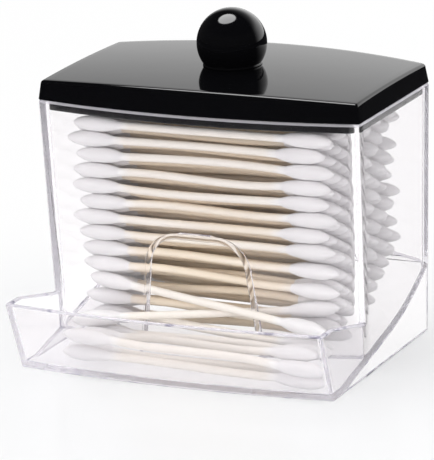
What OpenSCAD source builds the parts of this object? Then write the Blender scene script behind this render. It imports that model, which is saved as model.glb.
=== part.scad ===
// Cotton swab holder: a clear one-piece moulded box with an arched window and a tray in front,
// a black lift-off lid with a ball knob, and the cotton swabs that lie in it.
// +X is to the right of the front, +Y to the back, +Z up. Millimetres.

/* [Clear box] */
// Outside width at the rim
rim_w = 95; // [90:0.5:110]
// Outside depth at the rim's corners
rim_d = 48; // [44:0.5:60]
// How far the front and the back bulge out between the corners
bow = 5; // [2:0.5:7]
// Height of the rim above the floor
rim_z = 70; // [66:0.5:90]
// Thickness of the box's walls
wall = 1.5; // [1.2:0.1:1.8]
// Inset of each side wall at the floor, against the rim
side_draft = 1.15; // [0.5:0.05:1.5]
// Inset of the front wall at the floor
front_draft = 2.2; // [1:0.1:3]
// Inset of the back wall at the floor
back_draft = 2.8; // [1:0.1:3.5]
// Outside radius of the upright corners
corner_r = 0.8; // [0.4:0.1:1.4]
// Inside radius of the upright corners
inner_corner_r = 3; // [2:0.1:4]

/* [Ramp] */
// Thickness of the tray's floor and of the ramp
floor_t = 2; // [1.5:0.1:2.5]
// Where the floor starts to rise, behind the tray's front edge
ramp_start = 6; // [4:0.5:10]
// Slope of the straight part of the ramp, in degrees
ramp_slope = 12.1; // [8:0.1:16]
// Length of the straight part, measured along Y
ramp_straight = 31; // [24:0.5:36]
// Radius of the curve that carries the ramp up to the back wall
ramp_r = 85; // [70:1:110]

/* [Tray] */
// How far the tray's front edge stands out from the box's front corners, at the floor
tray_foot = 21.7; // [20:0.1:26]
// How far the tray's rim leans out past its foot
tray_lean = 7; // [4:0.1:8]
// Height of the tray's front rim
tray_z = 20; // [18:0.5:24]
// Bulge of the tray's front between its corners
tray_bow = 3; // [1:0.1:4]
// Height of the tray's side walls where they meet the box
tray_side_z = 15; // [13:0.5:17]
// Length of the level part of the tray's side walls, behind the front rim
tray_level = 7; // [4:0.5:12]

/* [Window] */
// Half the window's width at the tray's floor
arch_foot = 17.5; // [12:0.5:22]
// Half the window's width where its corners start to round
arch_shoulder = 14; // [10:0.5:18]
// Height of the window's top
arch_z = 35; // [30:0.5:42]
// Radius of the window's upper corners
arch_r = 8; // [4:0.5:10]

/* [Lid] */
// Height of the lid's side wall at its corners
lid_side = 5.2; // [4.5:0.1:8]
// Radius of the sphere that the lid's crowned top follows
crown_r = 600; // [400:10:1200]
// Inset of the lid's side wall at its top
lid_draft = 0.6; // [0.3:0.05:1]
// Radius of the lid's top edge
lid_edge_r = 0.85; // [0.4:0.05:1.2]
// Thickness of the lid's top
lid_t = 2; // [1.6:0.1:2.4]
// Depth of the skirt that drops into the box
skirt_h = 2.8; // [2:0.1:5]
// Thickness of the skirt
skirt_t = 1.5; // [1.2:0.1:2]
// Gap between the skirt and the box all round
skirt_clear = 0.3; // [0.2:0.05:0.5]
// Radius of the boss that holds the knob's peg
boss_r = 4.5; // [4:0.1:6]
// How far the boss hangs below the lid's top
boss_h = 3; // [2:0.1:4]

/* [Knob] */
// Radius of the knob's ball
knob_r = 9.6; // [8:0.1:12]
// Height of the ball's centre above the lid
knob_rise = 5.9; // [5:0.1:7]
// Radius of the knob's foot
knob_foot_r = 8.1; // [7.5:0.1:8.5]
// Radius where the foot runs into the ball
knob_neck_r = 7.9; // [7:0.1:8]
// Height of the foot
knob_foot_h = 1.2; // [0.6:0.1:2]
// Radius of the peg under the knob
peg_r = 2.5; // [2:0.1:3]
// Length of the peg
peg_l = 4; // [3:0.1:4.8]
// Gap round the peg in the lid's bore
peg_clear = 0.05; // [0.02:0.01:0.1]

/* [Swabs] */
// Length of a swab, tip to tip
swab_l = 76.2; // [70:0.1:78]
// Radius of the stick
stick_r = 1.1; // [0.9:0.05:1.3]
// Radius of a bud at its thickest
bud_r = 2.18; // [2:0.02:2.4]
// Length of a bud
bud_l = 14; // [11:0.5:16]
// Gap between neighbouring buds
swab_gap = 0.06; // [0.04:0.01:0.12]
// Number of rows in the stack
swab_rows = 13; // [10:1:13]
// Gap between the top row and the lid's skirt
head_gap = 0.6; // [0.4:0.1:3]
// How unevenly the swabs are pushed in along their length
swab_stagger = 1.3; // [0:0.1:2]

/* [Hidden] */
SWAB_NODES = [for (i = [1:swab_rows]) str("swab_row_", i)];

// Facets of the round parts, points along a bowed edge and round a corner
$fn = 48;
bow_n = 22;
corner_n = 4;
arc_n = 16;
// How far a cutting shape reaches past what it cuts
over = 5;

rim_half = rim_d / 2;
foot_y = -rim_half + front_draft;
tray_foot_y = foot_y - tray_foot;
tray_rim_y = tray_foot_y - tray_lean;
front_y = tray_rim_y - tray_bow;
back_y = rim_half + bow;
// The whole object is centred on Y = 0
frame_y = -(front_y + back_y) / 2;

// An outline is [width, front corner's y, back corner's y, front bulge, back bulge]
function body_outline(z) = let (k = 1 - z / rim_z)
    [rim_w - 2 * side_draft * k, -rim_half + front_draft * k, rim_half - back_draft * k, bow, bow];
function tray_outline(z) =
    [body_outline(z)[0], tray_foot_y - tray_lean * z / tray_z, 0, tray_bow, 0];
function inset(o, t) = let (k = (o[0] - 2 * t) / o[0], q = 1 - k * k)
    [o[0] - 2 * t, o[1] + t - o[3] * q, o[2] - t + o[4] * q, o[3] * k * k, o[4] * k * k];
function bulge(x, w, b) = b * (1 - pow(2 * x / w, 2));

// The points of an outline, counter-clockwise from the front left, with corners of radius r
function half_ring(w, y, b, r, side) =
    let (lean = atan(4 * b / w), xs = w / 2 - r + r * sin(lean), ys = bulge(xs, w, b), cy = ys - r * cos(lean))
    concat(
        [for (i = [0:bow_n]) let (x = -xs + 2 * xs * i / bow_n) [-side * x, y + side * bulge(x, w, b)]],
        [for (i = [1:corner_n]) let (a = lean + (90 - lean) * i / corner_n)
            [-side * (w / 2 - r + r * sin(a)), y + side * (cy + r * cos(a))]]
    );
function ring_corner(w, y, b, r, side) =
    let (lean = atan(4 * b / w), xs = w / 2 - r + r * sin(lean), cy = bulge(xs, w, b) - r * cos(lean))
    [for (i = [corner_n:-1:1]) let (a = lean + (90 - lean) * i / corner_n)
        [side * (w / 2 - r + r * sin(a)), y + side * (cy + r * cos(a))]];
function ring(o, r) = concat(
    ring_corner(o[0], o[1], o[3], r, -1),
    half_ring(o[0], o[1], o[3], r, -1),
    ring_corner(o[0], o[2], o[4], r, 1),
    half_ring(o[0], o[2], o[4], r, 1)
);
function level(points, z) = [for (p = points) [p[0], p[1], z]];

// A solid through rings of equally many points, from the lowest ring to the highest
module loft(rings) {
    n = len(rings[0]);
    last = n * (len(rings) - 1);
    sides = [for (k = [0:len(rings) - 2]) for (i = [0:n - 1]) let (j = (i + 1) % n, a = k * n, b = a + n)
        each [[a + i, b + i, b + j], [a + i, b + j, a + j]]];
    caps = [[for (i = [0:n - 1]) i], [for (i = [n - 1:-1:0]) last + i]];
    polyhedron(points = [for (r = rings) each r], faces = concat(caps, sides));
}

module body_solid(t, r, low, high) {
    loft([for (z = [low, high]) level(ring(inset(body_outline(z), t), r), z)]);
}

module tray_solid(t, r, low, high) {
    loft([for (z = [low, high]) level(ring(inset(tray_outline(z), t), r), z)]);
}

// The ramp's upper face: level, then straight, then curved up to the back wall
ramp_y0 = tray_foot_y + ramp_start;
ramp_y1 = ramp_y0 + ramp_straight;
ramp_z1 = floor_t + ramp_straight * tan(ramp_slope);
ramp_cy = ramp_y1 - ramp_r * sin(ramp_slope);
ramp_cz = ramp_z1 + ramp_r * cos(ramp_slope);
function ramp_z(y) = y < ramp_y0 ? floor_t
    : y < ramp_y1 ? floor_t + (y - ramp_y0) * tan(ramp_slope)
    : ramp_cz - sqrt(ramp_r * ramp_r - pow(y - ramp_cy, 2));

ramp_end_y = back_y + over;
ramp_end_a = asin((ramp_end_y - ramp_cy) / ramp_r);
// Points along the ramp, t below its upper face
function ramp_points(t) = concat(
    [[ramp_y0 + t * tan(ramp_slope / 2), floor_t - t]],
    [for (i = [0:arc_n]) let (a = ramp_slope + (ramp_end_a - ramp_slope) * i / arc_n)
        [ramp_cy + (ramp_r + t) * sin(a), ramp_cz - (ramp_r + t) * cos(a)]]
);

// Extrudes a shape drawn in Y and Z across the whole width
module across(width) {
    rotate([90, 0, 90]) translate([0, 0, -width / 2]) linear_extrude(width) children();
}

module above_ramp() {
    across(rim_w + over) polygon(concat(
        [[front_y - over, rim_z + over], [front_y - over, floor_t]],
        ramp_points(0),
        [[ramp_end_y, rim_z + over]]
    ));
}

module below_ramp(width) {
    across(width) polygon(concat(
        ramp_points(floor_t),
        [[ramp_end_y + over, ramp_cz - (ramp_r + floor_t) * cos(ramp_end_a)], [ramp_end_y + over, -over],
            [ramp_y0, -over]]
    ));
}

module window() {
    rotate([90, 0, 0]) linear_extrude(rim_half + bow + over) hull() {
        for (side = [-1, 1]) {
            translate([side * (arch_shoulder - arch_r), arch_z - arch_r]) circle(arch_r);
            translate([side * arch_foot - side / 2, floor_t]) square([1, 1], center = true);
        }
    }
}

// What the tray's side walls lose behind their level part
module side_dip() {
    dip_y = tray_rim_y + tray_level;
    across(rim_w + over) polygon([
        [dip_y, tray_z], [dip_y, tray_z + over], [0, tray_z + over],
        [0, tray_side_z], [foot_y, tray_side_z]
    ]);
}

module in_frame() {
    translate([0, frame_y, 0]) children();
}

module holder() {
    color([0.93, 0.94, 0.97, 0.35]) in_frame() difference() {
        union() {
            body_solid(0, corner_r, 0, rim_z);
            difference() {
                tray_solid(0, corner_r, 0, tray_z);
                side_dip();
            }
        }
        intersection() {
            union() {
                body_solid(wall, inner_corner_r, -over, rim_z + over);
                difference() {
                    tray_solid(wall, corner_r, -over, tray_z + over);
                    body_solid(0, corner_r, -over, rim_z);
                }
                window();
            }
            above_ramp();
        }
        below_ramp(body_outline(0)[0] - 2 * wall);
    }
}

// The lid's top over its centre and at any point
lid_top_z = rim_z + lid_side + (pow(rim_w / 2, 2) + pow(rim_half, 2)) / (2 * crown_r);
function crown_z(p) = lid_top_z - (p[0] * p[0] + p[1] * p[1]) / (2 * crown_r);
function on_crown(points, down) = [for (p = points) [p[0], p[1], crown_z(p) - down]];
function shrink(points, k) = [for (p = points) p * k];
crown_steps = [0.8, 0.6, 0.4, 0.2, 0.05];

module lid() {
    rim = body_outline(rim_z);
    skirt_out = inset(rim, wall + skirt_clear);
    skirt_in = inset(rim, wall + skirt_clear + skirt_t);
    top = ring(inset(rim, lid_draft + lid_edge_r), corner_r);
    under = ring(skirt_in, inner_corner_r - skirt_t);
    color([0.02, 0.02, 0.025]) in_frame() difference() {
        union() {
            difference() {
                union() {
                    loft(concat(
                        [level(ring(rim, corner_r), rim_z)],
                        [for (a = [0:30:60]) on_crown(
                            ring(inset(rim, lid_draft + lid_edge_r * (1 - cos(a))), corner_r),
                            lid_edge_r * (1 - sin(a)))],
                        [on_crown(top, 0)],
                        [for (k = crown_steps) on_crown(shrink(top, k), 0)]
                    ));
                    loft([for (z = [rim_z - skirt_h, rim_z + lid_t / 2])
                        level(ring(skirt_out, inner_corner_r - skirt_clear), z)]);
                }
                loft(concat(
                    [level(under, rim_z - skirt_h - over)],
                    [on_crown(under, lid_t)],
                    [for (k = crown_steps) on_crown(shrink(under, k), lid_t)]
                ));
            }
            translate([0, 0, lid_top_z - lid_t - boss_h]) cylinder(h = boss_h + lid_t / 2, r = boss_r);
        }
        translate([0, 0, rim_z - over]) cylinder(h = lid_top_z - rim_z + 2 * over, r = peg_r + peg_clear);
    }
}

module knob() {
    color([0.02, 0.02, 0.025]) in_frame() translate([0, 0, lid_top_z]) {
        difference() {
            translate([0, 0, knob_rise]) sphere(knob_r);
            translate([0, 0, -knob_r]) cylinder(h = knob_r, r = 2 * knob_r);
        }
        cylinder(h = knob_foot_h, r1 = knob_foot_r, r2 = knob_neck_r);
        translate([0, 0, -peg_l]) cylinder(h = peg_l + knob_foot_h, r = peg_r);
    }
}

// A bud's outline from its tip inwards, as shares of its length and of its thickest radius
bud_shape = [[0, 0.16], [0.05, 0.42], [0.18, 0.78], [0.36, 1], [0.6, 1], [0.85, 0.8]];
bud_points = [for (p = bud_shape) [p[1] * bud_r, swab_l / 2 - p[0] * bud_l]];
bud_end = [stick_r, swab_l / 2 - bud_l];

// One swab along X with its middle at the origin
module swab() {
    half = concat(bud_points, [bud_end]);
    mirrored = [for (i = [len(half) - 1:-1:0]) [half[i][0], -half[i][1]]];
    rotate([0, 90, 0]) rotate_extrude($fn = 24)
        polygon(concat([[0, swab_l / 2]], half, mirrored, [[0, -swab_l / 2]]));
}

swab_pitch = 2 * bud_r + swab_gap;
row_top_z = rim_z - skirt_h - head_gap - bud_r;
function row_z(i) = row_top_z - (i - 1) * swab_pitch;
function stagger(i, j) = swab_stagger * sin(137 * i + 71 * j * j);
// How far out along X a bud is at full thickness, and the room for the swabs' middles there
belly_x = swab_l / 2 - bud_shape[3][0] * bud_l + swab_stagger;
function inner(z) = inset(body_outline(z), wall);
function inner_front(z) = let (o = inner(z)) o[1] - bulge(belly_x, o[0], o[3]) + bud_r + swab_gap;
function inner_back(z) = let (o = inner(z)) o[2] + bulge(belly_x, o[0], o[4]) - bud_r - swab_gap;
// A swab fits where its buds clear the ramp below
function clears_ramp(y, z) = z - bud_r / cos(ramp_slope) - swab_gap > ramp_z(y + bud_r * sin(ramp_slope));

// Rows lower than this have slipped at the front, where tilted swabs lie in a slot this much wider
slip_z = 2 * bud_r + arch_z - arch_r;
slip_gap = 0.5;

// In every second column the swabs lie half a swab lower, beside the gaps of the next columns
module swab_row(i) {
    low_z = row_z(i) - swab_pitch / 2;
    slipped = row_z(i) < slip_z;
    y0 = inner_front(row_z(i)) + (slipped ? slip_gap : 0);
    color([0.96, 0.94, 0.92]) in_frame() for (j = [slipped ? 1 : 0:floor((inner_back(low_z) - y0) / swab_pitch)]) {
        y = y0 + j * swab_pitch;
        z = j % 2 == 0 ? row_z(i) : low_z;
        if (clears_ramp(y, z)) translate([stagger(i, j), y, z]) swab();
    }
}

// Slipped swabs behind the front wall: height above the tray's floor and tilt about Y, in degrees
SLIPPED = [[26.5, 1], [21.5, 2], [12, 2]];
// Swabs through the window: middle's x, y from the window's wall, height above the floor, turn and tilt
window_y = foot_y - bow + wall / 2;
CROSSED = [[2, 0, 15.5, -8.5, 4.5], [2.5, 0, 8.5, -8.5, 0], [1, 0.5, 12.5, 8, -5.5]];
// Swabs in the tray: middle's x, y from the tray's front foot, height above the floor, turn and tilt
IN_TRAY = [[5.5, 1, 3.5, 2.5, 2], [3, 7, 3, 0, 0.5], [3, 7.5, 7.5, -6.5, -3], [4, 12, 7, -7, -2.5],
    [6.5, -0.5, 8, 1.5, 3]];

module loose_swab(x, y, h, turn, tilt) {
    translate([x, y, floor_t + h]) rotate([0, tilt, turn]) swab();
}

module loose_swabs() {
    color([0.96, 0.94, 0.92]) in_frame() {
        for (s = SLIPPED) loose_swab(1, inner_front(floor_t + s[0]) + slip_gap / 2, s[0], 0, s[1]);
        for (s = CROSSED) loose_swab(s[0], window_y + s[1], s[2], s[3], s[4]);
        for (s = IN_TRAY) loose_swab(s[0], tray_foot_y + s[1], s[2], s[3], s[4]);
    }
}

holder();
lid();
knob();
for (i = [1:swab_rows]) swab_row(i);
loose_swabs();
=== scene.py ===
"""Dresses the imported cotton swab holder: clear box, black lid and knob, cotton swabs and a studio stage."""

import math
import random
from collections import namedtuple

import bmesh
import bpy
import numpy as np
from bpy.props import FloatProperty, FloatVectorProperty, IntProperty, PointerProperty
from mathutils import Matrix, Vector
from mathutils.geometry import convex_hull_2d


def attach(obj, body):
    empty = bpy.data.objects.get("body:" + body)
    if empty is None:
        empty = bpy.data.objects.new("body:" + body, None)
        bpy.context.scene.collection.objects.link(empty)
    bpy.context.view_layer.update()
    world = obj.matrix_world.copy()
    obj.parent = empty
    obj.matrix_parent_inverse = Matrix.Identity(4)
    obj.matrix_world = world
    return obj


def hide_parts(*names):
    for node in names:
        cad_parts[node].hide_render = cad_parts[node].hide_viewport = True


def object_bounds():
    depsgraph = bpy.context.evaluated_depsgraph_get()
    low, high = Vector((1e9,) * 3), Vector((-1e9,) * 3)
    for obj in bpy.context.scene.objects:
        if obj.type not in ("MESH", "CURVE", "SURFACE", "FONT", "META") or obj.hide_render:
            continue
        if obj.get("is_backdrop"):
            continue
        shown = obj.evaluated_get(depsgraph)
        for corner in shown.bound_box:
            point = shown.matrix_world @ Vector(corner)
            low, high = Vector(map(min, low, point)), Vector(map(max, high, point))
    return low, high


bl_info = {
    "name": "Cotton Swab Holder",
    "version": (1, 0, 0),
    "blender": (4, 5, 0),
    "location": "View3D > Sidebar > Swab Holder",
    "description": "A clear swab box with a tray, its black lid and knob, the swabs in it and a studio stage",
    "category": "Add Mesh",
}

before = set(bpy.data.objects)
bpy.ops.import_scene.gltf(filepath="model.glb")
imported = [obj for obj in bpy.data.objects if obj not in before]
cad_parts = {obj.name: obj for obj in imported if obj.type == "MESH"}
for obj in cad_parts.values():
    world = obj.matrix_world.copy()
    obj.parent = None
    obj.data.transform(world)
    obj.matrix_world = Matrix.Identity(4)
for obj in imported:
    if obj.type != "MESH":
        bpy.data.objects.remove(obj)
CAD_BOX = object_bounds()
MM = 0.001
OVER = 5 * MM  # how far a cutting shape reaches past what it cuts


def length(name, mm, description):
    return FloatProperty(name=name, description=description, default=mm * MM, min=0, precision=5, unit="LENGTH")


def share(name, value, description):
    return FloatProperty(name=name, description=description, default=value, min=0, max=1, subtype="FACTOR")


def colour(name, value, description):
    return FloatVectorProperty(name=name, description=description, default=value, min=0, max=1, size=3,
                               subtype="COLOR")


def power(name, watts, description):
    return FloatProperty(name=name, description=description, default=watts, min=0, unit="POWER")


class BoxSizes(bpy.types.PropertyGroup):
    """Sizes of the clear box, its tray, its ramp and its window."""

    rim_w: length("Rim width", 95, "Outside width at the rim")
    rim_d: length("Rim depth", 48, "Outside depth at the rim's corners")
    bow: length("Bow", 5, "How far the front and the back bulge out between the corners")
    rim_z: length("Rim height", 70, "Height of the rim above the floor")
    wall: length("Wall", 1.5, "Thickness of the walls")
    side_draft: length("Side draft", 1.15, "Inset of each side wall at the floor")
    front_draft: length("Front draft", 2.2, "Inset of the front wall at the floor")
    back_draft: length("Back draft", 2.8, "Inset of the back wall at the floor")
    corner_r: length("Corner radius", 0.8, "Outside radius of the upright corners")
    inner_corner_r: length("Inner corner radius", 3, "Inside radius of the upright corners")
    edge_r: length("Edge rounding", 0.35, "Radius of the moulded edges")
    lip_r: length("Lip rounding", 0.7, "Radius of the box's rim and the tray's rim")
    bead_r: length("Bead radius", 1.0, "Radius of the round bead along the window's edge")
    floor_t: length("Floor", 2, "Thickness of the tray's floor and of the ramp")
    ramp_start: length("Ramp start", 6, "Where the floor starts to rise, behind the tray's front edge")
    ramp_straight: length("Ramp length", 31, "Length of the ramp's straight part along Y")
    ramp_r: length("Ramp radius", 85, "Radius of the curve that carries the ramp up to the back wall")
    ramp_slope: FloatProperty(name="Ramp slope", description="Slope of the ramp's straight part",
                              default=math.radians(12.1), min=0, max=0.5, subtype="ANGLE")
    tray_foot: length("Tray foot", 21.7, "How far the tray's front edge stands out at the floor")
    tray_lean: length("Tray lean", 7, "How far the tray's rim leans out past its foot")
    tray_z: length("Tray rim height", 20, "Height of the tray's front rim")
    tray_bow: length("Tray bow", 3, "Bulge of the tray's front")
    tray_side_z: length("Tray side height", 15, "Height of the tray's sides where they meet the box")
    tray_level: length("Tray level", 7, "Length of the level part of the tray's sides")
    arch_foot: length("Window foot", 17.5, "Half the window's width at the tray's floor")
    arch_shoulder: length("Window shoulder", 14, "Half the window's width where its corners start to round")
    arch_z: length("Window height", 35, "Height of the window's top")
    arch_r: length("Window radius", 8, "Radius of the window's upper corners")
    tint: colour("Tint", (0.985, 0.975, 0.98), "Colour of the clear plastic")
    edge_tint: colour("Edge tint", (0.80, 0.775, 0.83), "Colour of the pale bloom on the rounded edges")


class LidSizes(bpy.types.PropertyGroup):
    """Sizes of the lid and its knob, and the colour of their plastic."""

    side: length("Side height", 5.2, "Height of the lid's side wall at its corners")
    crown_r: length("Crown radius", 600, "Radius of the sphere that the lid's top follows")
    draft: length("Draft", 0.6, "Inset of the lid's side wall at its top")
    edge_r: length("Edge radius", 0.85, "Radius of the lid's top edge")
    thickness: length("Thickness", 2, "Thickness of the lid's top")
    skirt_h: length("Skirt depth", 2.8, "Depth of the skirt that drops into the box")
    skirt_t: length("Skirt thickness", 1.5, "Thickness of the skirt")
    skirt_clear: length("Skirt gap", 0.3, "Gap between the skirt and the box")
    soft_r: length("Soft edge", 0.25, "Radius of the lid's lower edges")
    boss_r: length("Boss radius", 4.5, "Radius of the boss that holds the knob's peg")
    boss_h: length("Boss height", 3, "How far the boss hangs below the lid's top")
    knob_r: length("Ball radius", 9.6, "Radius of the knob's ball")
    knob_rise: length("Ball height", 5.9, "Height of the ball's centre above the lid")
    knob_foot_r: length("Foot radius", 8.1, "Radius of the knob's foot")
    knob_foot_h: length("Foot height", 0.6, "Height of the foot where it meets the ball")
    peg_r: length("Peg radius", 2.5, "Radius of the peg under the knob")
    peg_l: length("Peg length", 4, "Length of the peg")
    peg_clear: length("Peg gap", 0.05, "Gap round the peg in the lid")
    black: colour("Black", (0.002, 0.002, 0.0025), "Colour of the black plastic")


class SwabLook(bpy.types.PropertyGroup):
    """Shape and colours of the swabs."""

    stick_r: length("Stick radius", 1.1, "Radius of the paper stick")
    bud_r: length("Bud radius", 2.18, "Radius of a cotton bud at its thickest")
    bud_l: length("Bud length", 14, "Length of a cotton bud")
    lumps: share("Lumps", 0.07, "How unevenly the cotton is wound, as a share of the bud's radius")
    bend: length("Bend", 0.55, "How far a paper stick strays from straight")
    seed: IntProperty(name="Seed", description="Seed of the swabs' small differences", default=7, min=0)
    cotton: colour("Cotton", (0.92, 0.905, 0.91), "Colour of the cotton")
    paper: colour("Paper", (0.92, 0.88, 0.85), "Colour of the paper sticks")
    # Painted shade: the warm tone that light takes on between the sticks, painted on the sticks inside the stack.
    painted_shade_paper: colour("Paper inside", (0.86, 0.73, 0.58), "Colour of the paper sticks inside the stack")


class StageLook(bpy.types.PropertyGroup):
    """Floor, lamps and camera."""

    floor_white: colour("Floor", (0.80, 0.805, 0.82), "Colour of the floor")
    floor_size: length("Floor size", 6000, "Width of the floor")
    lamp_power: power("Lamp power", 7, "Power of the soft lamp overhead")
    fill_power: power("Fill power", 3.5, "Power of a soft lamp at a side. The one in front has 1.2 times as much")
    focal: FloatProperty(name="Focal length", description="The camera's focal length in millimetres",
                         default=294.9, min=1)


PROPERTY_GROUPS = {"swab_box": BoxSizes, "swab_lid": LidSizes, "swab_look": SwabLook, "swab_stage": StageLook}


# Shader maths

class Wire:
    """One output socket, so that maths on it reads as Python."""

    def __init__(self, graph, socket):
        self.graph = graph
        self.socket = socket

    def _maths(self, operation, *values):
        return self.graph.node("ShaderNodeMath", {"operation": operation}, dict(enumerate(values)))

    def __add__(self, other):
        return self._maths("ADD", self, other)

    __radd__ = __add__

    def __sub__(self, other):
        return self._maths("SUBTRACT", self, other)

    def __rsub__(self, other):
        return self._maths("SUBTRACT", other, self)

    def __mul__(self, other):
        return self._maths("MULTIPLY", self, other)

    __rmul__ = __mul__

    def __truediv__(self, other):
        return self._maths("DIVIDE", self, other)

    def __lt__(self, other):
        return self._maths("LESS_THAN", self, other)


class Graph:
    """The node tree of a material or a world, with one method that adds any node."""

    def __init__(self, owner):
        owner.use_nodes = True
        self.tree = owner.node_tree
        self.tree.nodes.clear()

    def node(self, kind, settings=None, sockets=None, output=0):
        made = self.tree.nodes.new(kind)
        for name, value in (settings or {}).items():
            if name == "stops":
                ramp = made.color_ramp
                while len(ramp.elements) < len(value):
                    ramp.elements.new(1)
                for stop, (place, tone) in zip(ramp.elements, value):
                    stop.position, stop.color = place, tone
            else:
                setattr(made, name, value)
        for name, value in (sockets or {}).items():
            if isinstance(value, Wire):
                self.tree.links.new(value.socket, made.inputs[name])
            else:
                made.inputs[name].default_value = value
        return Wire(self, made.outputs[output]) if made.outputs else None

    def mixed(self, factor, a, b):
        """Colour a where factor is 0 and b where it is 1."""
        return self.node("ShaderNodeMix", {"data_type": "RGBA"}, {0: factor, 6: rgba(a), 7: rgba(b)}, output=2)

    def shaders(self, factor, a, b):
        """Shader a where factor is 0 and b where it is 1."""
        return self.node("ShaderNodeMixShader", None, {0: factor, 1: a, 2: b})

    def dot(self, vector, fixed):
        return self.node("ShaderNodeVectorMath", {"operation": "DOT_PRODUCT"}, {0: vector, 1: fixed}, output=1)

    def noise(self, place, scale, detail=3, roughness=0.5):
        sockets = {"Vector": place, "Scale": scale, "Detail": detail, "Roughness": roughness}
        return self.node("ShaderNodeTexNoise", None, sockets)

    def bump(self, height, depth, strength=1.0):
        return self.node("ShaderNodeBump", None, {"Height": height, "Distance": depth, "Strength": strength})

    def stretched(self, place, scale):
        return self.node("ShaderNodeVectorMath", {"operation": "MULTIPLY"}, {0: place, 1: scale})

    def between(self, value, start, end, low, high):
        """low where value is start or less, high where it is end or more, and a smooth step between them."""
        return self.node("ShaderNodeMapRange", {"interpolation_type": "SMOOTHSTEP"}, {
            "Value": value, "From Min": start, "From Max": end, "To Min": low, "To Max": high})

    def split(self, vector):
        """The X, Y and Z of a vector."""
        outputs = self.node("ShaderNodeSeparateXYZ", None, {0: vector}).socket.node.outputs
        return [Wire(self, outputs[i]) for i in range(3)]

    def surface(self, shader):
        self.node("ShaderNodeOutputMaterial", None, {"Surface": shader})

    def path(self, name):
        """One output of the Light Path node, such as Is Camera Ray."""
        wire = self.node("ShaderNodeLightPath")
        wire.socket = wire.socket.node.outputs[name]
        return wire


def rgba(tone):
    return tone if isinstance(tone, Wire) else (*tone[:3], 1.0)


def new_material(name):
    material = bpy.data.materials.new(name)
    return material, Graph(material)


def object_place(graph):
    """The place on the piece in metres, which is also its place in the row's frame."""
    return graph.node("ShaderNodeTexCoord", output=3)


TRAY_Z = 16 * MM, 21 * MM  # the tray's haze fades out between these heights, and between these places behind it
TRAY_Y = -12 * MM, -6 * MM
PAINTED_DASHES_Z = 55 * MM, 64 * MM  # painted reflection: the dark dash marks on the edges fade out between these heights, below the rim


def clear_plastic(tint, name="moulded_clear", clearness=1.0, dash=0.0):
    """Clear moulded plastic: glass-like, with faint flow marks, and haze on the tray.

    It is see-through to shadows and to soft light, so both pass it. Part of the light that is reflected inside a wall
    comes out as pale bloom. dash says how dark the painted reflection is: short dash marks in which an edge is painted
    with the dark room's colour.
    """
    material, g = new_material(name)
    place = object_place(g)
    haze = g.noise(place, 90, 4, 0.6)
    flow = g.noise(g.stretched(place, (1, 1, 0.35)), 26, 2)
    _, y, z = g.split(place)
    # Painted reflection: short dark dash marks in the dark room's colour, painted into the base colour of the edges.
    painted_dashes = g.between(g.noise(place, 190, 2), 0.53, 0.62, 0.0, dash) * g.between(z, *PAINTED_DASHES_Z, 1.0, 0.0)
    clear = g.node("ShaderNodeBsdfPrincipled", None, {
        "Base Color": g.mixed(painted_dashes, tint, (0.10, 0.09, 0.2)), "Roughness": haze * 0.03 + 0.005, "IOR": 1.52,
        "Transmission Weight": clearness, "Normal": g.bump(flow, 0.04 * MM)})
    bloom = g.node("ShaderNodeBsdfTranslucent", None, {"Color": (0.85, 0.83, 0.88, 1)})
    veil = g.between(z, *TRAY_Z, 0.1, 0.0) * g.between(y, *TRAY_Y, 1.0, 0.0)
    plastic = g.shaders(veil, clear, bloom)
    backfacing = g.node("ShaderNodeNewGeometry", output=6)
    trapped = g.shaders(backfacing, plastic, g.shaders(0.35, plastic, bloom))
    seen = g.shaders(g.path("Is Reflection Ray"), plastic, trapped)
    open_air = g.node("ShaderNodeBsdfTransparent")
    g.surface(g.shaders(g.path("Is Diffuse Ray"), g.shaders(g.path("Is Shadow Ray"), seen, open_air), open_air))
    return material


def black_plastic(black):
    """Glossy black plastic with a trace of moulding waviness and handling marks."""
    material, g = new_material("glossy_black")
    place = object_place(g)
    marks = g.noise(place, 140, 4, 0.6)
    wave = g.noise(place, 45, 2)
    gloss = g.node("ShaderNodeBsdfPrincipled", None, {
        "Base Color": g.mixed(marks * 0.4, black, [c * 1.6 for c in black]), "Roughness": marks * 0.05 + 0.04,
        "IOR": 1.5, "Normal": g.bump(wave, 0.03 * MM)})
    g.surface(gloss)
    return material


OWN_STEP = 100  # how far in millimetres the swabs' own coordinates lie apart, more than a swab's length


def own_place(graph):
    """The place on a swab measured along and across that swab, in millimetres, shifted along by whole OWN_STEPs."""
    return graph.node("ShaderNodeAttribute", {"attribute_name": "own"}, output=1)


def cotton(tone):
    """Matt wound cotton: soft lumps, fine fibres round the bud and a cool shade in the hollows."""
    material, g = new_material("cotton_bud")
    own = own_place(g)
    lumps = g.noise(own, 0.7, 2)
    fibres = g.noise(g.stretched(own, (5, 1.2, 1.2)), 1.6, 4, 0.7)
    shade = [tone[0] * 0.94, tone[1] * 0.92, tone[2] * 0.94]
    fluff = g.node("ShaderNodeBsdfPrincipled", None, {
        "Base Color": g.mixed(lumps * 0.5 + fibres * 0.5, shade, tone), "Roughness": fibres * 0.15 + 0.82,
        "Sheen Weight": 0.25, "Sheen Roughness": 0.6, "Specular IOR Level": 0.15,
        "Normal": g.bump(fibres, 0.18 * MM)})
    g.surface(fluff)
    return material


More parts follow.
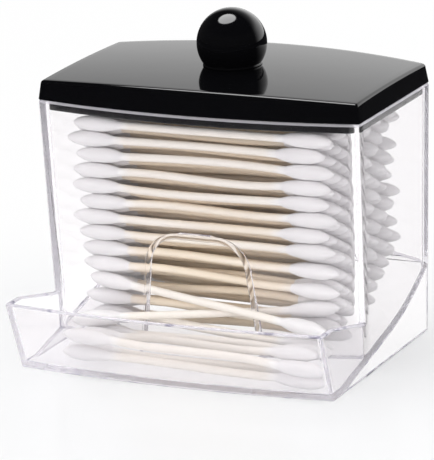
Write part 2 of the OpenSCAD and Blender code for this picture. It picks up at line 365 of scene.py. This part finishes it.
def rolled_paper(tone, painted_shade_tone, stack_y, cotton_tone, cotton_x):
    """Paper rolled into a stick: a spiral seam, long fibres and a slight change of tone from stick to stick.

    Inside the stack, between stack_y's two ends, it has painted shade, the warmer tone that light takes on between
    the sticks. Stray cotton whitens it towards the buds, which start cotton_x millimetres from the swab's middle.
    """
    material, g = new_material("paper_stick")
    own = own_place(g)
    along, y, z = g.split(own)
    from_middle = g.node("ShaderNodeMath", {"operation": "ABSOLUTE"}, {
        0: g.node("ShaderNodeMath", {"operation": "WRAP"}, {0: along, 1: OWN_STEP / 2, 2: -OWN_STEP / 2})})
    turn = g.node("ShaderNodeMath", {"operation": "ARCTAN2"}, {0: y, 1: z}) / (2 * math.pi)
    seam = g.node("ShaderNodeMath", {"operation": "FRACT"}, {0: along / 9 + turn}) < 0.05
    fibres = g.noise(g.stretched(own, (0.6, 3, 3)), 1.4, 4, 0.6)
    batch = g.noise(g.stretched(own, (0.0137, 0, 0)), 1, 1)
    warm = [tone[0] * 0.96, tone[1] * 0.92, tone[2] * 0.86]
    place_y = g.split(object_place(g))[1]
    front, back = stack_y
    # Painted shade: inside is 0 at the stack's front and back and 1 within it, where the sticks get the painted warm
    # shade; there stray cotton is mostly left off.
    inside = g.between(place_y, front, front + 2 * MM, 0.0, 1.0) * g.between(place_y, back - 2 * MM, back, 1.0, 0.0)
    strays = g.between(from_middle + fibres, cotton_x - 3.5, cotton_x + 0.5, 0.0, 0.9) * (1 - inside * 0.8)
    shaded = g.mixed(inside * 0.85, g.mixed(fibres * 0.4 + batch * 0.6, warm, tone), painted_shade_tone)
    rolled = g.mixed(seam * 0.12, shaded, [c * 0.8 for c in tone])
    paper = g.node("ShaderNodeBsdfPrincipled", None, {
        "Base Color": g.mixed(strays, rolled, cotton_tone), "Roughness": fibres * 0.2 + 0.5,
        "Specular IOR Level": 0.3, "Normal": g.bump(fibres - seam * 0.5, 0.05 * MM)})
    g.surface(paper)
    return material


def glossy_floor(tone):
    """A pale glossy floor that still takes the holder's shadow and reflection.

    Away from the holder it is white to the camera. Through the plastic it is white behind the holder and dark in
    front of it, and it is dark in the holder's gloss.
    """
    material, g = new_material("studio_floor")
    place = object_place(g)
    haze = g.noise(place, 8, 3)
    surface = g.node("ShaderNodeBsdfPrincipled", None, {
        "Base Color": g.mixed(haze * 0.3, tone, [c * 0.985 for c in tone]), "Roughness": haze * 0.05 + 0.12,
        "IOR": 1.45})
    dark = g.node("ShaderNodeEmission", None, {"Color": (0.01, 0.01, 0.012, 1), "Strength": 1.0})
    through = g.path("Is Transmission Ray")
    white = g.node("ShaderNodeEmission", None, {"Color": 1 + through * 0.3, "Strength": 1.0})
    away = g.node("ShaderNodeVectorMath", {"operation": "LENGTH"}, {0: place}, output=1)
    in_front = g.between(g.split(place)[1], -0.14, -0.06, 1.0, 0.0)
    seen = g.path("Is Camera Ray") * g.between(away, 0.06, 0.16, 0.45, 0.95) + through * (1 - in_front) * 0.75
    unlit = g.path("Is Glossy Ray") * (1 - through) * 0.98 + through * in_front * 0.9
    g.surface(g.shaders(seen, g.shaders(unlit, surface, dark), white))
    return material


BACKDROP = (0.2, 0.98, 0)  # directions in the studio: its backdrop, the way the camera looks, and its softbox
CAMERA_LOOK = (-0.434, 0.901, 0)
SOFTBOX = (-0.22, 0.09, 0.971)
PANELS = ((0.30, (1, 1, 1, 1)), (0.38, (0.10, 0.10, 0.16, 1)), (0.50, (0.3, 0.29, 0.38, 1)), (0.62, (1, 1, 1, 1)))


def studio_world(world):
    """The studio's room: plain white to the camera and even soft light.

    Gloss shows a white backdrop behind, a softbox overhead and a dark room in front. Through the plastic the room is
    white with a dark panel, which draws the edges, and dark in front.
    """
    g = Graph(world)
    direction = g.node("ShaderNodeTexCoord", output=0)
    height = g.split(direction)[2]
    backdrop = g.between(g.dot(direction, BACKDROP), 0.5, 0.97, 0.03, 1.6) * g.between(height, 0.35, 0.7, 1.0, 0.3)
    mirrored = backdrop + g.between(g.dot(direction, SOFTBOX), 0.925, 0.945, 0.0, 8.0)
    panels = g.node("ShaderNodeValToRGB", {"stops": PANELS}, {0: height})
    room = g.mixed(g.between(g.dot(direction, CAMERA_LOOK), -0.75, -0.3, 1.0, 0.0), panels, (0.12, 0.11, 0.15))
    through = g.path("Is Transmission Ray")
    unseen = g.mixed(through, g.mixed(g.path("Is Glossy Ray"), (0.62, 0.62, 0.62), mirrored), room)
    g.node("ShaderNodeOutputWorld", None, {"Surface": g.node("ShaderNodeBackground", None, {
        "Color": g.mixed(g.path("Is Camera Ray"), unseen, (1, 1, 1)), "Strength": 1 + through * 0.3})})


# Outlines of the box, as in the part's source

Outline = namedtuple("Outline", "width front back front_bow back_bow")


def bulge(x, width, bow):
    return bow * (1 - (2 * x / width) ** 2)


def body_outline(s, z):
    k = 1 - z / s.rim_z
    half = s.rim_d / 2
    return Outline(s.rim_w - 2 * s.side_draft * k, -half + s.front_draft * k, half - s.back_draft * k, s.bow, s.bow)


def foot_y(s):
    return -s.rim_d / 2 + s.front_draft


def tray_foot_y(s):
    return foot_y(s) - s.tray_foot


def tray_outline(s, z):
    return Outline(body_outline(s, z).width, tray_foot_y(s) - s.tray_lean * z / s.tray_z, 0, s.tray_bow, 0)


def inset(o, t):
    k = (o.width - 2 * t) / o.width
    q = 1 - k * k
    return Outline(o.width - 2 * t, o.front + t - o.front_bow * q, o.back - t + o.back_bow * q,
                   o.front_bow * k * k, o.back_bow * k * k)


def ring(o, r, bow_steps=40, corner_steps=6):
    """Points of an outline from above, counter-clockwise from its front left corner, with corners of radius r."""
    points = []
    for y, bow, side in ((o.front, o.front_bow, -1), (o.back, o.back_bow, 1)):
        lean = math.atan(4 * bow / o.width)
        reach = o.width / 2 - r + r * math.sin(lean)
        centre = bulge(reach, o.width, bow) - r * math.cos(lean)
        corner = []
        for i in range(1, corner_steps + 1):
            a = lean + (math.pi / 2 - lean) * i / corner_steps
            corner.append((o.width / 2 - r + r * math.sin(a), centre + r * math.cos(a)))
        points += [(side * x, y + side * out) for x, out in reversed(corner)]
        for i in range(bow_steps + 1):
            x = reach * (2 * i / bow_steps - 1)
            points.append((-side * x, y + side * bulge(x, o.width, bow)))
        points += [(-side * x, y + side * out) for x, out in corner]
    return points


def frame_y(s):
    """Shift that centres the whole object on Y = 0."""
    front = tray_foot_y(s) - s.tray_lean - s.tray_bow
    return -(front + s.rim_d / 2 + s.bow) / 2


def level(points, z):
    return [(x, y, z) for x, y in points]


# Mesh making

def piece(name, mesh):
    thing = bpy.data.objects.new(name, mesh)
    bpy.context.scene.collection.objects.link(thing)
    return thing


def lofted(name, rings, closed=False):
    """A solid through rings of equally many points. closed joins the last ring to the first, without caps."""
    bm = bmesh.new()
    rows = [[bm.verts.new(p) for p in one] for one in rings]
    pairs = list(zip(rows, rows[1:])) + ([(rows[-1], rows[0])] if closed else [])
    n = len(rows[0])
    for low, high in pairs:
        for i in range(n):
            j = (i + 1) % n
            bm.faces.new((low[i], low[j], high[j], high[i]))
    if not closed:
        bm.faces.new(reversed(rows[0]))
        bm.faces.new(rows[-1])
    bmesh.ops.recalc_face_normals(bm, faces=bm.faces)
    mesh = bpy.data.meshes.new(name)
    bm.to_mesh(mesh)
    bm.free()
    return piece(name, mesh)


def prism(name, points, place, low, high):
    """A flat shape swept from low to high, where place turns (a, b, sweep) into x, y, z."""
    return lofted(name, [[place(a, b, end) for a, b in points] for end in (low, high)])


def bake_modifiers(thing):
    graph = bpy.context.evaluated_depsgraph_get()
    made = bpy.data.meshes.new_from_object(thing.evaluated_get(graph), preserve_all_data_layers=True, depsgraph=graph)
    old = thing.data
    thing.modifiers.clear()
    thing.data = made
    bpy.data.meshes.remove(old)


def combine(base, operation, tool):
    """Joins, cuts or intersects base with tool, which is used up."""
    step = base.modifiers.new(operation.title(), "BOOLEAN")
    step.operation, step.solver, step.object = operation, "MANIFOLD", tool
    bake_modifiers(base)
    bpy.data.objects.remove(tool)
    return base


def soften(thing, edge_r, lip_r, angle=50):
    """Rounds every edge sharper than angle, the lips more than the rest, with normals that keep the walls flat.

    The rounded faces take the piece's second material.
    """
    bm = bmesh.new()
    bm.from_mesh(thing.data)
    weight = bm.edges.layers.float.new("bevel_weight_edge")
    for edge in bm.edges:
        if len(edge.link_faces) == 2 and edge.calc_face_angle() > math.radians(angle):
            edge[weight] = 1.0 if is_lip(edge) else edge_r / lip_r
    bm.to_mesh(thing.data)
    bm.free()
    step = thing.modifiers.new("Rounded", "BEVEL")
    step.width, step.segments, step.limit_method, step.material = lip_r, 4, "WEIGHT", 1
    step.use_clamp_overlap = False
    bake_modifiers(thing)
    shade(thing, 60)
    step = thing.modifiers.new("Flat walls", "WEIGHTED_NORMAL")
    step.mode, step.weight, step.keep_sharp = "FACE_AREA", 100, True
    bake_modifiers(thing)


def shade(thing, angle=40):
    mesh = thing.data
    mesh.polygons.foreach_set("use_smooth", [True] * len(mesh.polygons))
    mesh.set_sharp_from_angle(angle=math.radians(angle))


def tidy(thing, distance=0.004 * MM):
    bm = bmesh.new()
    bm.from_mesh(thing.data)
    bmesh.ops.remove_doubles(bm, verts=bm.verts, dist=distance)
    bmesh.ops.dissolve_degenerate(bm, edges=bm.edges, dist=distance)
    bmesh.ops.recalc_face_normals(bm, faces=bm.faces)
    bm.to_mesh(thing.data)
    bm.free()


def wear(thing, *materials):
    """Gives a piece its materials in place of any it has. Its faces keep their choice of them if it has none."""
    if thing.data.materials:
        thing.data.materials.clear()
    for material in materials:
        thing.data.materials.append(material)


# The clear box

def ramp_line(s, below):
    """Points (y, z) along the ramp, below its upper face by that much, out past the back wall."""
    start = tray_foot_y(s) + s.ramp_start
    bend_y = start + s.ramp_straight
    bend_z = s.floor_t + s.ramp_straight * math.tan(s.ramp_slope)
    cy, cz = bend_y - s.ramp_r * math.sin(s.ramp_slope), bend_z + s.ramp_r * math.cos(s.ramp_slope)
    last = math.asin((s.rim_d / 2 + s.bow + OVER - cy) / s.ramp_r)
    points = [(start + below * math.tan(s.ramp_slope / 2), s.floor_t - below)]
    for i in range(33):
        a = s.ramp_slope + (last - s.ramp_slope) * i / 32
        points.append((cy + (s.ramp_r + below) * math.sin(a), cz - (s.ramp_r + below) * math.cos(a)))
    return points


def along_x(a, b, sweep):
    return sweep, a, b


def along_y(a, b, sweep):
    return a, sweep, b


def window_points(s, low):
    points = [(side * s.arch_foot, low) for side in (-1, 1)]
    for side in (-1, 1):
        for i in range(48):
            a = 2 * math.pi * i / 48
            points.append((side * (s.arch_shoulder - s.arch_r) + s.arch_r * math.cos(a),
                           s.arch_z - s.arch_r + s.arch_r * math.sin(a)))
    return [points[i] for i in convex_hull_2d(points)]


def front_wall_y(s, x, z, depth):
    """Where the front wall is at x and z, that deep below its outer face."""
    o = body_outline(s, z)
    i = inset(o, s.wall)
    outer, inner = o.front - bulge(x, o.width, o.front_bow), i.front - bulge(x, i.width, i.front_bow)
    return outer + (inner - outer) * depth / s.wall


def window_loop(s, low, grow):
    """The window's outline, down to low and larger by grow all round, with the direction outwards at each point."""
    points = window_points(s, low)
    loop = []
    for i, (x, z) in enumerate(points):
        along = Vector(points[(i + 1) % len(points)]) - Vector(points[i - 1])
        out = Vector((along.y, -along.x)).normalized()
        loop.append((x + out.x * grow, z + out.y * grow, out))
    return loop


def window_bead(s):
    """The round bead that runs round the window, thicker than the wall."""
    loop = window_loop(s, s.floor_t, s.bead_r)
    rings = []
    for k in range(24):
        a = 2 * math.pi * k / 24
        across, through = s.bead_r * 0.98 * math.cos(a), s.bead_r * 0.98 * math.sin(a)
        rings.append([(x + n.x * across, front_wall_y(s, x, z, s.wall / 2) + through, z + n.y * across)
                      for x, z, n in loop])
    return lofted("window_bead", rings, closed=True)


def clear_box_shape(s):
    def shell(name, outline, t, r, low, high):
        return lofted(name, [level(ring(inset(outline(s, z), t), r), z) for z in (low, high)])

    reach = s.rim_w / 2 + OVER
    front = tray_foot_y(s) - s.tray_lean - s.tray_bow - OVER
    dip_y = tray_foot_y(s) - s.tray_lean + s.tray_level
    dip = [(dip_y, s.tray_z), (foot_y(s), s.tray_side_z), (0, s.tray_side_z), (0, s.tray_z + OVER),
           (dip_y, s.tray_z + OVER)]
    outside = shell("tray", tray_outline, 0, s.corner_r, 0, s.tray_z)
    combine(outside, "DIFFERENCE", prism("dip", dip, along_x, -reach, reach))
    outside = combine(shell("clear_box", body_outline, 0, s.corner_r, 0, s.rim_z), "UNION", outside)

    hollow = shell("tray_hollow", tray_outline, s.wall, s.corner_r, -OVER, s.tray_z + OVER)
    combine(hollow, "DIFFERENCE", shell("body", body_outline, 0, s.corner_r, -2 * OVER, s.rim_z))
    combine(hollow, "UNION", shell("body_hollow", body_outline, s.wall, s.inner_corner_r, -OVER, s.rim_z + OVER))
    opening = [(x, z) for x, z, _ in window_loop(s, s.floor_t - 0.5 * MM, s.bead_r)]
    combine(hollow, "UNION", prism("window", opening, along_y, -s.rim_d / 2 - s.bow - OVER, 0))
    ramp = ramp_line(s, 0)
    above = [(front, s.rim_z + 2 * OVER), (front, s.floor_t)] + ramp + [(ramp[-1][0], s.rim_z + 2 * OVER)]
    combine(hollow, "INTERSECT", prism("above_ramp", above, along_x, -reach, reach))
    combine(outside, "DIFFERENCE", hollow)

    under = ramp_line(s, s.floor_t)
    leg = body_outline(s, 0).width / 2 - s.wall
    below = under + [(under[-1][0] + OVER, under[-1][1]), (under[-1][0] + OVER, -OVER), (under[0][0], -OVER)]
    combine(outside, "DIFFERENCE", prism("below_ramp", below, along_x, -leg, leg))
    return combine(outside, "UNION", window_bead(s))


def is_lip(edge):
    """Whether an edge runs round the top of the box or of the tray."""
    return edge.is_convex and any(face.normal.z > 0.6 for face in edge.link_faces)


class SWAB_OT_clear_box(bpy.types.Operator):
    """Makes the clear box with its tray, ramp and window"""

    bl_idname = "swab.clear_box"
    bl_label = "Clear Box"

    def execute(self, context):
        s = context.scene.swab_box
        box = clear_box_shape(s)
        tidy(box)
        # The rounded edges wear a half-clear, pale copy of the plastic, a painted bloom for the light that real edges
        # gather, with painted dark dash marks.
        wear(box, clear_plastic(s.tint), clear_plastic(s.edge_tint, "moulded_clear_edge", clearness=0.6, dash=0.7))
        soften(box, s.edge_r, s.lip_r)
        box.data.transform(Matrix.Translation((0, frame_y(s), 0)))
        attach(box, "holder")
        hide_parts("holder")
        return {"FINISHED"}


# The lid and its knob

def circle(points, r):
    """A ring of radius r whose points lie in the same directions as the outline's."""
    return [(r * math.cos(math.atan2(y, x)), r * math.sin(math.atan2(y, x))) for x, y in points]


def shrunk(points, k):
    return [(x * k, y * k) for x, y in points]


def with_sides(points, steps=12):
    """A ring with points added along its straight sides, so that circles with the same directions come out round."""
    half = len(points) // 2
    made = []
    for run, after in ((points[:half], points[half]), (points[half:], points[0])):
        start, end = Vector(run[-1]), Vector(after)
        made += run + [tuple(start.lerp(end, i / steps)) for i in range(1, steps)]
    return made


def lid_top_z(box, lid):
    return box.rim_z + lid.side + ((box.rim_w / 2) ** 2 + (box.rim_d / 2) ** 2) / (2 * lid.crown_r)


def rounding(r, start, end, step):
    """How far in from one face and from the other the points of a round edge lie, from one angle to another."""
    for a in range(start, end, step):
        yield r * (1 - math.cos(math.radians(a))), r * (1 - math.sin(math.radians(a)))


def lid_rings(box, lid):
    """Rings from the peg's bore out over the top, down the side, round the skirt and back under to the boss."""
    peak = lid_top_z(box, lid)
    rim = body_outline(box, box.rim_z)

    def crowned(points, down=0.0):
        return [(x, y, peak - (x * x + y * y) / (2 * lid.crown_r) - down) for x, y in points]

    def side(t, r=box.corner_r):
        return with_sides(ring(inset(rim, t), r))

    top = side(lid.draft + lid.edge_r)
    under = side(box.wall + lid.skirt_clear + lid.skirt_t, box.inner_corner_r - lid.skirt_t)
    bore = circle(top, lid.peg_r + lid.peg_clear)
    boss = circle(top, lid.boss_r)
    rings = [crowned(bore)] + [crowned(shrunk(top, k)) for k in (0.12, 0.25, 0.4, 0.55, 0.7, 0.85, 0.96)]
    for across, down in rounding(lid.edge_r, 90, -1, -15):
        rings.append(crowned(side(lid.draft + across), down))
    for across, up in rounding(lid.soft_r, 0, 91, 30):
        rings.append(level(side(across), box.rim_z + up))
    skirt_z = box.rim_z - lid.skirt_h
    outer = box.wall + lid.skirt_clear
    outer_r = box.inner_corner_r - lid.skirt_clear
    rings.append(level(side(outer, outer_r), box.rim_z))
    for across, up in rounding(lid.soft_r, 0, 91, 30):
        rings.append(level(side(outer + across, outer_r - across), skirt_z + up))
    for across, up in rounding(lid.soft_r, 90, -1, -30):
        rings.append(level(side(outer + lid.skirt_t - across, box.inner_corner_r - lid.skirt_t + across), skirt_z + up))
    rings += [crowned(shrunk(under, k), lid.thickness) for k in (1, 0.8, 0.6, 0.4, 0.25)]
    low = peak - lid.thickness - lid.boss_h
    rings += [crowned(boss, lid.thickness), level(boss, low), level(bore, low)]
    return rings


class SWAB_OT_lid(bpy.types.Operator):
    """Makes the crowned black lid with its skirt"""

    bl_idname = "swab.lid"
    bl_label = "Lid"

    def execute(self, context):
        box, lid = context.scene.swab_box, context.scene.swab_lid
        made = lofted("lid_shell", lid_rings(box, lid), closed=True)
        shade(made, 50)
        made.data.transform(Matrix.Translation((0, frame_y(box), 0)))
        wear(made, black_plastic(lid.black))
        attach(made, "lid")
        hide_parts("lid")
        return {"FINISHED"}


class SWAB_OT_knob(bpy.types.Operator):
    """Makes the ball knob with its foot and peg"""

    bl_idname = "swab.knob"
    bl_label = "Knob"

    def execute(self, context):
        box, lid = context.scene.swab_box, context.scene.swab_lid
        joint = math.asin((lid.knob_foot_h - lid.knob_rise) / lid.knob_r)
        profile = [(lid.peg_r * 0.9, -lid.peg_l), (lid.peg_r, -lid.peg_l * 0.92), (lid.peg_r, 0),
                   (lid.knob_foot_r - 0.1 * MM, 0), (lid.knob_foot_r, 0.1 * MM),
                   (lid.knob_foot_r - 0.05 * MM, lid.knob_foot_h - 0.1 * MM)]
        for i in range(40):
            a = joint + (math.pi / 2 - joint) * i / 40
            profile.append((lid.knob_r * math.cos(a), lid.knob_rise + lid.knob_r * math.sin(a)))
        profile.append((0.02 * MM, lid.knob_rise + lid.knob_r))
        turns = [(math.cos(2 * math.pi * i / 96), math.sin(2 * math.pi * i / 96)) for i in range(96)]
        base = lid_top_z(box, lid)
        made = lofted("knob_ball", [[(r * c, r * s, base + z) for c, s in turns] for r, z in profile])
        shade(made, 50)
        made.data.transform(Matrix.Translation((0, frame_y(box), 0)))
        wear(made, bpy.data.materials["glossy_black"])
        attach(made, "lid")
        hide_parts("knob")
        return {"FINISHED"}


# The swabs

def solids_of(node):
    """Points of each separate solid in a CAD node."""
    bm = bmesh.new()
    bm.from_mesh(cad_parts[node].data)
    bmesh.ops.remove_doubles(bm, verts=bm.verts, dist=0.001 * MM)
    left = set(bm.verts)
    found = []
    while left:
        todo, group = [left.pop()], []
        while todo:
            v = todo.pop()
            group.append(tuple(v.co))
            for e in v.link_edges:
                other = e.other_vert(v)
                if other in left:
                    left.remove(other)
                    todo.append(other)
        found.append(np.array(group))
    bm.free()
    return sorted(found, key=lambda g: tuple(np.round(g.mean(0), 5)))


def swab_place(points):
    """A swab's middle, its direction and its length, from its solid's points."""
    middle = (points.min(0) + points.max(0)) / 2
    _, _, axes = np.linalg.svd(points - points.mean(0), full_matrices=False)
    axis = axes[0] if axes[0][0] > 0 else -axes[0]
    reach = (points - middle) @ axis
    return Vector(middle + axis * (reach.min() + reach.max()) / 2), Vector(axis), float(reach.max() - reach.min())


# A bud's outline from its tip inwards, as shares of its length and of its thickest radius
BUD = ((0, 0), (0.012, 0.2), (0.05, 0.42), (0.1, 0.59), (0.18, 0.78), (0.26, 0.91), (0.36, 1), (0.48, 1), (0.6, 1),
       (0.72, 0.93), (0.85, 0.8), (0.93, 0.66))
# Waves in the cotton's winding: how often each goes round the bud, and its turn in radians for each metre along it
WINDING = ((2, 900), (3, -700), (1, 400), (0, 1300))
AROUND = 20  # points round a swab


def swab_outline(look, swab_l):
    """(distance along, radius, how much cotton) from one tip to the other."""
    stick = swab_l / 2 - look.bud_l
    end = [(swab_l / 2 - a * look.bud_l, r * look.bud_r, 1.0) for a, r in BUD]
    end += [(stick * k, look.stick_r, 0.0) for k in (1, 0.8, 0.6, 0.4, 0.2)]
    return end + [(0.0, look.stick_r, 0.0)] + [(-x, r, wound) for x, r, wound in reversed(end)]


def add_swab(bm, own, outline, place, look, chance):
    """Adds one swab, its buds unevenly wound, and records its own coordinates for the materials."""
    middle, axis, _ = place
    side = axis.orthogonal().normalized()
    up = axis.cross(side)
    shift = OWN_STEP * chance.randrange(60)
    phase = [chance.uniform(0, 2 * math.pi) for _ in range(4)]
    stray = [chance.uniform(-1, 1) * look.bend for _ in range(4)]
    stick = max(x for x, _, wound in outline if not wound)
    rows = []
    for x, r, wound in outline:
        row = []
        k = max(1 - (x / stick) ** 2, 0)
        centre = (middle + axis * x + side * (k * (stray[0] + 2 * stray[1] * x / stick))
                  + up * (k * (stray[2] + 2 * stray[3] * x / stick)))
        for i in range(AROUND):
            a = 2 * math.pi * i / AROUND
            wave = (sum(math.sin(n * a + p + turn * x) for (n, turn), p in zip(WINDING, phase)) - 4) / 8
            rr = max(r * (1 + look.lumps * wound * wave), 0.02 * MM)
            y, z = rr * math.cos(a), rr * math.sin(a)
            v = bm.verts.new(centre + side * y + up * z)
            v[own] = (x / MM + shift, y / MM, z / MM)
            row.append(v)
        rows.append(row)
    for k, (a, b) in enumerate(zip(rows, rows[1:])):
        for i in range(AROUND):
            j = (i + 1) % AROUND
            face = bm.faces.new((a[i], a[j], b[j], b[i]))
            face.material_index = 1 if outline[k][2] == outline[k + 1][2] == 0 else 0
    bm.faces.new(rows[0]).material_index = 0
    bm.faces.new(reversed(rows[-1])).material_index = 0


class SWAB_OT_swabs(bpy.types.Operator):
    """Makes the cotton swabs, each in the place of its solid"""

    bl_idname = "swab.swabs"
    bl_label = "Swabs"

    def execute(self, context):
        look = context.scene.swab_look
        box = context.scene.swab_box
        reach = box.rim_d / 2 + box.bow - box.wall - 2 * look.bud_r
        swab_l = swab_place(solids_of("swab_row_1")[0])[2]
        materials = cotton(look.cotton), rolled_paper(
            look.paper, look.painted_shade_paper, (frame_y(box) - reach, frame_y(box) + reach), look.cotton,
            (swab_l / 2 - look.bud_l) / MM)
        chance = random.Random(look.seed)
        for node in sorted(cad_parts):
            if not node.startswith("swab_row_") and node != "loose_swabs":
                continue
            bm = bmesh.new()
            own = bm.verts.layers.float_vector.new("own")
            for points in solids_of(node):
                place = swab_place(points)
                add_swab(bm, own, swab_outline(look, place[2]), place, look, chance)
            bmesh.ops.recalc_face_normals(bm, faces=bm.faces)
            mesh = bpy.data.meshes.new("wound_" + node)
            bm.to_mesh(mesh)
            bm.free()
            made = piece("wound_" + node, mesh)
            shade(made, 60)
            wear(made, *materials)
            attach(made, "holder")
            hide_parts(node)
        return {"FINISHED"}


# The stage

AIM = (0, 0, 0.04)  # what the lamps point at
CAMERA_YAW, CAMERA_PITCH, CAMERA_ROLL = math.radians(25.76), math.radians(15.68), math.radians(-2.35)
CAMERA_AIM = (0, 0.0123, 0.040)
CAMERA_DISTANCE = 1.03162
CAMERA_SHIFT = (-0.0462, -0.0718)


def soft_lamp(name, place, width, height, power):
    """A large area lamp that lights the piece, but doesn't show in its gloss or through the plastic."""
    lamp = bpy.data.lights.new(name, "AREA")
    lamp.shape, lamp.size, lamp.size_y, lamp.energy = "RECTANGLE", width, height, power
    thing = piece(name, lamp)
    thing.location = place
    thing.rotation_euler = (Vector(AIM) - Vector(place)).to_track_quat("-Z", "Y").to_euler()
    thing.visible_glossy = thing.visible_transmission = False


def photo_camera(focal):
    camera = bpy.data.cameras.new("photo_camera")
    camera.lens, camera.sensor_width = focal, 36
    camera.clip_start, camera.clip_end = 0.05, 20
    camera.shift_x, camera.shift_y = CAMERA_SHIFT
    thing = piece("photo_camera", camera)
    yaw, pitch, roll = CAMERA_YAW, CAMERA_PITCH, CAMERA_ROLL
    back = Vector((math.sin(yaw) * math.cos(pitch), -math.cos(yaw) * math.cos(pitch), math.sin(pitch)))
    right = Vector((math.cos(yaw), math.sin(yaw), 0))
    up = back.cross(right)
    across = right * math.cos(roll) + up * math.sin(roll)
    along = up * math.cos(roll) - right * math.sin(roll)
    turn = Matrix((across, along, back)).transposed().to_4x4()
    thing.matrix_world = Matrix.Translation(Vector(CAMERA_AIM) + back * CAMERA_DISTANCE) @ turn
    return thing


class SWAB_OT_stage(bpy.types.Operator):
    """Makes the floor, the soft lamps and the camera"""

    bl_idname = "swab.stage"
    bl_label = "Stage"

    def execute(self, context):
        stage, scene = context.scene.swab_stage, context.scene
        half = stage.floor_size / 2
        floor = prism("studio_floor", [(-half, -half), (half, -half), (half, half), (-half, half)],
                      lambda a, b, z: (a, b, z), -20 * MM, -0.01 * MM)
        wear(floor, glossy_floor(stage.floor_white))
        floor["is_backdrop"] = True
        scene.world = bpy.data.worlds.new("studio")
        studio_world(scene.world)
        fill = stage.fill_power
        soft_lamp("soft_overhead", (-0.25, 0.1, 1.1), 0.9, 0.7, stage.lamp_power)
        soft_lamp("fill_left", (-0.7, -1.0, 0.5), 0.9, 0.7, fill)
        soft_lamp("fill_front", (0.1, -1.3, 0.14), 1.2, 0.2, fill * 1.2)
        soft_lamp("fill_right", (1.15, -0.3, 0.35), 0.8, 0.6, fill)
        scene.camera = photo_camera(stage.focal)
        scene.view_settings.view_transform = "Standard"
        return {"FINISHED"}


OPERATORS = (SWAB_OT_clear_box, SWAB_OT_lid, SWAB_OT_knob, SWAB_OT_swabs, SWAB_OT_stage)


class SWAB_PT_holder(bpy.types.Panel):
    """Lists the sizes, the colours and the pieces"""

    bl_label = "Swab Holder"
    bl_idname = "SWAB_PT_holder"
    bl_space_type = "VIEW_3D"
    bl_region_type = "UI"
    bl_category = "Swab Holder"

    def draw(self, context):
        for maker in OPERATORS:
            self.layout.operator(maker.bl_idname)
        for name, group in PROPERTY_GROUPS.items():
            column = self.layout.box().column(align=True)
            for prop in group.__annotations__:
                column.prop(getattr(context.scene, name), prop)


CLASSES = (*PROPERTY_GROUPS.values(), *OPERATORS, SWAB_PT_holder)


def register():
    for cls in CLASSES:
        bpy.utils.register_class(cls)
    for name, group in PROPERTY_GROUPS.items():
        setattr(bpy.types.Scene, name, PointerProperty(type=group))


def unregister():
    for name in PROPERTY_GROUPS:
        delattr(bpy.types.Scene, name)
    for cls in reversed(CLASSES):
        bpy.utils.unregister_class(cls)


def main():
    register()
    for maker in OPERATORS:
        family, call = maker.bl_idname.split(".")
        getattr(getattr(bpy.ops, family), call)()
    sizes = {"cad_box": CAD_BOX, "visual_box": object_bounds()}
    {name: [[round(float(c), 6) for c in corner] for corner in box] for name, box in sizes.items()}


if __name__ == "__main__":
    main()
